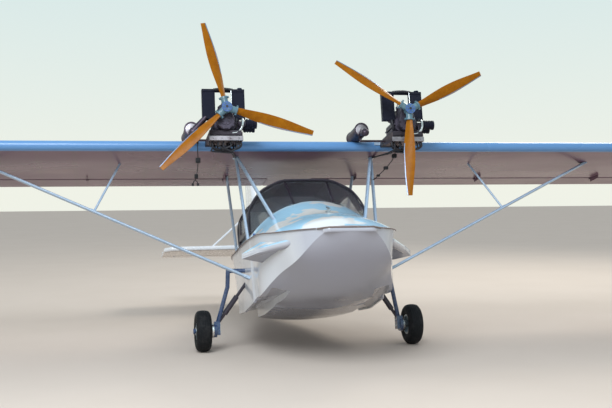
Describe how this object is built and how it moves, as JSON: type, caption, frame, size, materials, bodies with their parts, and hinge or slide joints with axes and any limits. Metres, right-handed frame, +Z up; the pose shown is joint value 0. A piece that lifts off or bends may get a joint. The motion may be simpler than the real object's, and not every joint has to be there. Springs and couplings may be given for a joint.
{
  "type": "amphibious aircraft",
  "caption": "Light twin-engined parasol-wing flying boat on main wheels and a tail wheel, with a closed cabin, strut-braced wing and wooden-bladed tractor propellers.",
  "frame": {"origin": "middle of the footprint on the ground: X on the plane of symmetry, Y half way along the aircraft as it stands parked, Z at the ground under the wheels", "axes": "+X towards the left wing tip, +Y aft, +Z up, in the parked nose-high attitude"},
  "size_m": [11.4, 6.0826, 3.1358],
  "materials": {
    "gelcoat": "gloss",
    "wing_cover": "gloss",
    "tail_cover": "gloss",
    "strut_paint": "satin",
    "gear_paint": "gloss",
    "black_frame": "satin",
    "glazing": "clear",
    "seat_cover": "woven",
    "panel": "matt",
    "bare_metal": "satin",
    "engine_metal": "cast",
    "radiator_core": "matt",
    "exhaust": "heat stained",
    "blade_wood": "varnished",
    "tyre": "matt",
    "cable_sheath": "matt"
  },
  "bodies": {
    "airframe": {"hull": "gelcoat", "deck": "gelcoat", "mooring_cleat": "bare_metal", "canopy_frame": "black_frame", "windshield": "glazing", "seats": "panel", "instrument_panel": "panel", "control_stick": "black_frame", "wing": "wing_cover", "fin": "tail_cover", "tailplane": "tail_cover", "tail_braces": "strut_paint", "lift_strut_left": "strut_paint", "pylon_left": "strut_paint", "engine_bed_left": "bare_metal", "engine_left": "engine_metal", "gearbox_left": "engine_metal", "air_filters_left": "radiator_core", "seat_cushions_left": "seat_cover", "cable_left": "cable_sheath", "cable_connectors_left": "cable_sheath", "radiators_left": "radiator_core", "silencer_left": "exhaust", "gear_leg_left": "gear_paint", "gear_shock_left": "black_frame", "lift_strut_right": "strut_paint", "pylon_right": "strut_paint", "engine_bed_right": "bare_metal", "engine_right": "engine_metal", "gearbox_right": "engine_metal", "air_filters_right": "radiator_core", "seat_cushions_right": "seat_cover", "cable_right": "cable_sheath", "cable_connectors_right": "cable_sheath", "radiators_right": "radiator_core", "silencer_right": "exhaust", "gear_leg_right": "gear_paint", "gear_shock_right": "black_frame"},
    "rudder": {"rudder": "tail_cover"},
    "elevator": {"elevator": "tail_cover"},
    "tail_fork": {"tail_fork": "bare_metal"},
    "tail_wheel": {"tail_wheel": "tyre"},
    "door_left": {"door_left": "black_frame", "door_glass_left": "glazing"},
    "flaperon_left": {"flaperon_left": "wing_cover"},
    "propeller_left": {"prop_hub_left": "bare_metal", "blades_left": "blade_wood"},
    "wheel_left": {"wheel_rim_left": "bare_metal", "tyre_left": "tyre"},
    "door_right": {"door_right": "black_frame", "door_glass_right": "glazing"},
    "flaperon_right": {"flaperon_right": "wing_cover"},
    "propeller_right": {"prop_hub_right": "bare_metal", "blades_right": "blade_wood"},
    "wheel_right": {"wheel_rim_right": "bare_metal", "tyre_right": "tyre"}
  },
  "joints": [
    {"name": "propeller_left_spin", "type": "hinge", "parent": "airframe", "child": "propeller_left", "pos_m": [0.88, -1.84661, 2.33217], "axis": [0, -0.9781, 0.2079], "continuous": true},
    {"name": "propeller_right_spin", "type": "hinge", "parent": "airframe", "child": "propeller_right", "pos_m": [-0.88, -1.84661, 2.33217], "axis": [0, -0.9781, 0.2079], "continuous": true},
    {"name": "wheel_left_spin", "type": "hinge", "parent": "airframe", "child": "wheel_left", "pos_m": [1.06, -1.33881, 0.2], "axis": [1, 0, 0], "continuous": true},
    {"name": "wheel_right_spin", "type": "hinge", "parent": "airframe", "child": "wheel_right", "pos_m": [-1.06, -1.33881, 0.2], "axis": [1, 0, 0], "continuous": true},
    {"name": "tail_fork_swivel", "type": "hinge", "parent": "airframe", "child": "tail_fork", "pos_m": [0, 1.98507, 0.08], "axis": [0, 0, 1], "range_deg": [-30, 30]},
    {"name": "tail_wheel_spin", "type": "hinge", "parent": "tail_fork", "child": "tail_wheel", "pos_m": [0, 2.04007, 0.08], "axis": [1, 0, 0], "continuous": true},
    {"name": "rudder_swing", "type": "hinge", "parent": "airframe", "child": "rudder", "pos_m": [0, 2.63501, 1.19555], "axis": [0, 0.2079, 0.9781], "range_deg": [-25, 25]},
    {"name": "elevator_swing", "type": "hinge", "parent": "airframe", "child": "elevator", "pos_m": [0, 2.40744, 0.70208], "axis": [1, 0, 0], "range_deg": [-20, 25]},
    {"name": "flaperon_left_swing", "type": "hinge", "parent": "airframe", "child": "flaperon_left", "pos_m": [2.88, -0.23888, 1.72085], "axis": [1, 0, 0], "range_deg": [-20, 20]},
    {"name": "flaperon_right_swing", "type": "hinge", "parent": "airframe", "child": "flaperon_right", "pos_m": [-2.88, -0.23888, 1.72085], "axis": [1, 0, 0], "range_deg": [-20, 20]},
    {"name": "door_left_lift", "type": "hinge", "parent": "airframe", "child": "door_left", "pos_m": [0.23, -0.8132, 1.59061], "axis": [0, -0.9781, 0.2079], "range_deg": [0, 65]},
    {"name": "door_right_lift", "type": "hinge", "parent": "airframe", "child": "door_right", "pos_m": [-0.23, -0.8132, 1.59061], "axis": [0, 0.9781, -0.2079], "range_deg": [0, 65]}
  ],
  "couplings": [
    {"joint": "flaperon_right_swing", "follows": "flaperon_left_swing", "ratio": -1}
  ]
}
